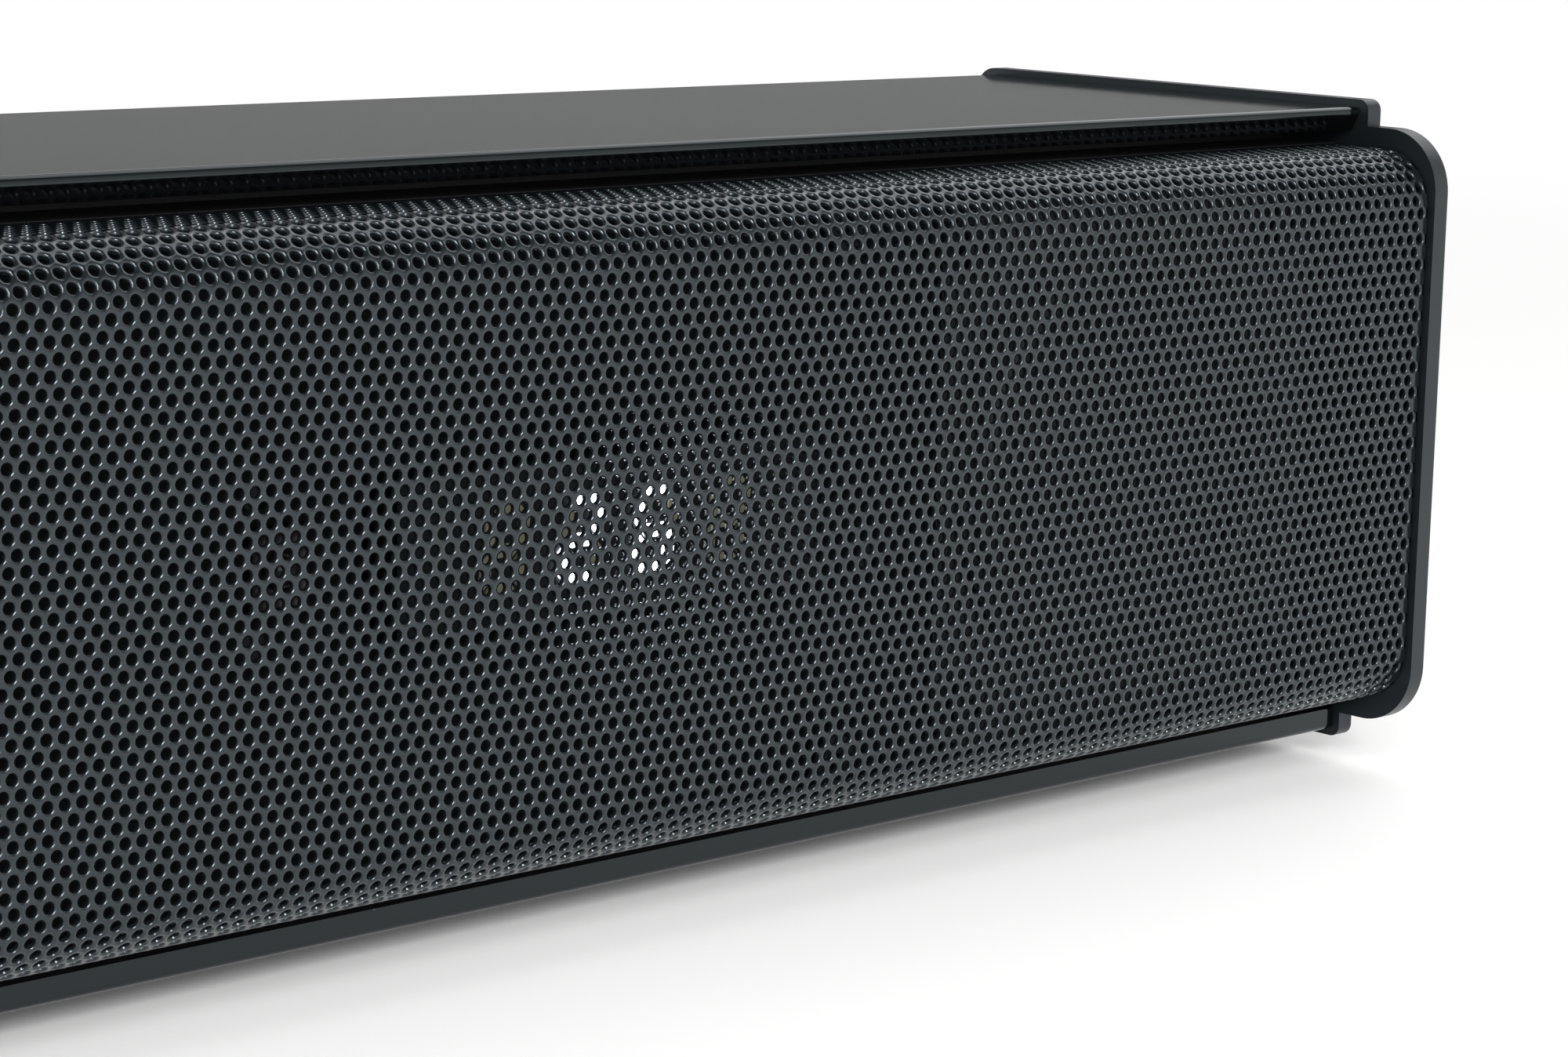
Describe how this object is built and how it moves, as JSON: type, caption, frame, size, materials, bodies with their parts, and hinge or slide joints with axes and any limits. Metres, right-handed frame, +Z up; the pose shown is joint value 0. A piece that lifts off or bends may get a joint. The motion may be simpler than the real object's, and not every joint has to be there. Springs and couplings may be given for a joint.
{
  "type": "soundbar",
  "caption": "Compact soundbar: bent perforated grille between stepped end plates, gloss top and base panels, lit digits behind the grille, push buttons on its right end.",
  "frame": {"origin": "middle of the footprint, on the surface that the feet stand on", "axes": "+X along the bar to the right of a listener who faces it, -Y out of the grille, +Z up"},
  "size_m": [0.55, 0.074, 0.078],
  "materials": {
    "grille_paint": "satin",
    "gloss_black": "gloss",
    "end_plate_black": "satin",
    "cabinet_plastic": "fine texture",
    "foot_rubber": "matte",
    "screw_steel": "black zinc",
    "pressed_steel": "satin",
    "gasket_foam": "matte",
    "surround_rubber": "matte",
    "cone_paper": "matte",
    "coil_copper": "lacquered",
    "spider_cloth": "woven",
    "ferrite": "ground",
    "display_black": "gloss",
    "segment_lit": "lit",
    "segment_unlit": "matte",
    "board_green": "solder mask",
    "chip_black": "matte",
    "aluminium": "bare",
    "plated_steel": "plated",
    "button_plastic": "satin"
  },
  "bodies": {
    "bar": {"amplifier_chip": "chip_black", "audio_jack": "chip_black", "baffle_screws": "screw_steel", "base_panel": "gloss_black", "base_screws": "screw_steel", "button_board": "board_green", "button_board_screws": "screw_steel", "button_switches": "chip_black", "cabinet": "cabinet_plastic", "capacitors": "aluminium", "display_board": "board_green", "display_housing": "display_black", "display_screws": "screw_steel", "driver_screws": "screw_steel", "front_baffle": "cabinet_plastic", "front_grille": "grille_paint", "hdmi_socket": "plated_steel", "heat_sink": "aluminium", "infrared_receiver": "display_black", "left_cone_surround": "surround_rubber", "left_driver_basket": "pressed_steel", "left_driver_gasket": "gasket_foam", "left_driver_top_plate": "pressed_steel", "left_end_plate": "end_plate_black", "left_end_plate_screws": "screw_steel", "left_magnet": "ferrite", "left_spider": "spider_cloth", "left_yoke": "pressed_steel", "lit_segments": "segment_lit", "main_board": "board_green", "main_board_screws": "screw_steel", "port_tray": "cabinet_plastic", "port_tray_screws": "screw_steel", "power_jack": "chip_black", "right_cone_surround": "surround_rubber", "right_driver_basket": "pressed_steel", "right_driver_gasket": "gasket_foam", "right_driver_top_plate": "pressed_steel", "right_end_plate": "end_plate_black", "right_end_plate_screws": "screw_steel", "right_magnet": "ferrite", "right_spider": "spider_cloth", "right_yoke": "pressed_steel", "rubber_feet": "foot_rubber", "top_panel": "gloss_black", "unlit_segments": "segment_unlit", "usb_socket": "plated_steel", "wireless_module": "plated_steel"},
    "left_cone_body": {"left_cone": "cone_paper", "left_dust_cap": "cone_paper", "left_voice_coil": "coil_copper"},
    "right_cone_body": {"right_cone": "cone_paper", "right_dust_cap": "cone_paper", "right_voice_coil": "coil_copper"},
    "power_button_body": {"power_button": "button_plastic"},
    "source_button_body": {"source_button": "button_plastic"},
    "pairing_button_body": {"pairing_button": "button_plastic"},
    "volume_up_button_body": {"volume_up_button": "button_plastic"},
    "volume_down_button_body": {"volume_down_button": "button_plastic"}
  },
  "joints": [
    {"name": "left_cone_stroke", "type": "slide", "parent": "bar", "child": "left_cone_body", "axis": [0, -1, 0], "range_m": [-0.0015, 0.0015], "stiffness_N_per_m": 900, "deforming": ["left_cone_surround", "left_spider"]},
    {"name": "right_cone_stroke", "type": "slide", "parent": "bar", "child": "right_cone_body", "axis": [0, -1, 0], "range_m": [-0.0015, 0.0015], "stiffness_N_per_m": 900, "deforming": ["right_cone_surround", "right_spider"]},
    {"name": "power_button_press", "type": "slide", "parent": "bar", "child": "power_button_body", "axis": [-1, 0, 0], "range_m": [0, 0.0006], "stiffness_N_per_m": 400},
    {"name": "source_button_press", "type": "slide", "parent": "bar", "child": "source_button_body", "axis": [-1, 0, 0], "range_m": [0, 0.0006], "stiffness_N_per_m": 400},
    {"name": "pairing_button_press", "type": "slide", "parent": "bar", "child": "pairing_button_body", "axis": [-1, 0, 0], "range_m": [0, 0.0006], "stiffness_N_per_m": 400},
    {"name": "volume_up_button_press", "type": "slide", "parent": "bar", "child": "volume_up_button_body", "axis": [-1, 0, 0], "range_m": [0, 0.0006], "stiffness_N_per_m": 400},
    {"name": "volume_down_button_press", "type": "slide", "parent": "bar", "child": "volume_down_button_body", "axis": [-1, 0, 0], "range_m": [0, 0.0006], "stiffness_N_per_m": 400}
  ]
}
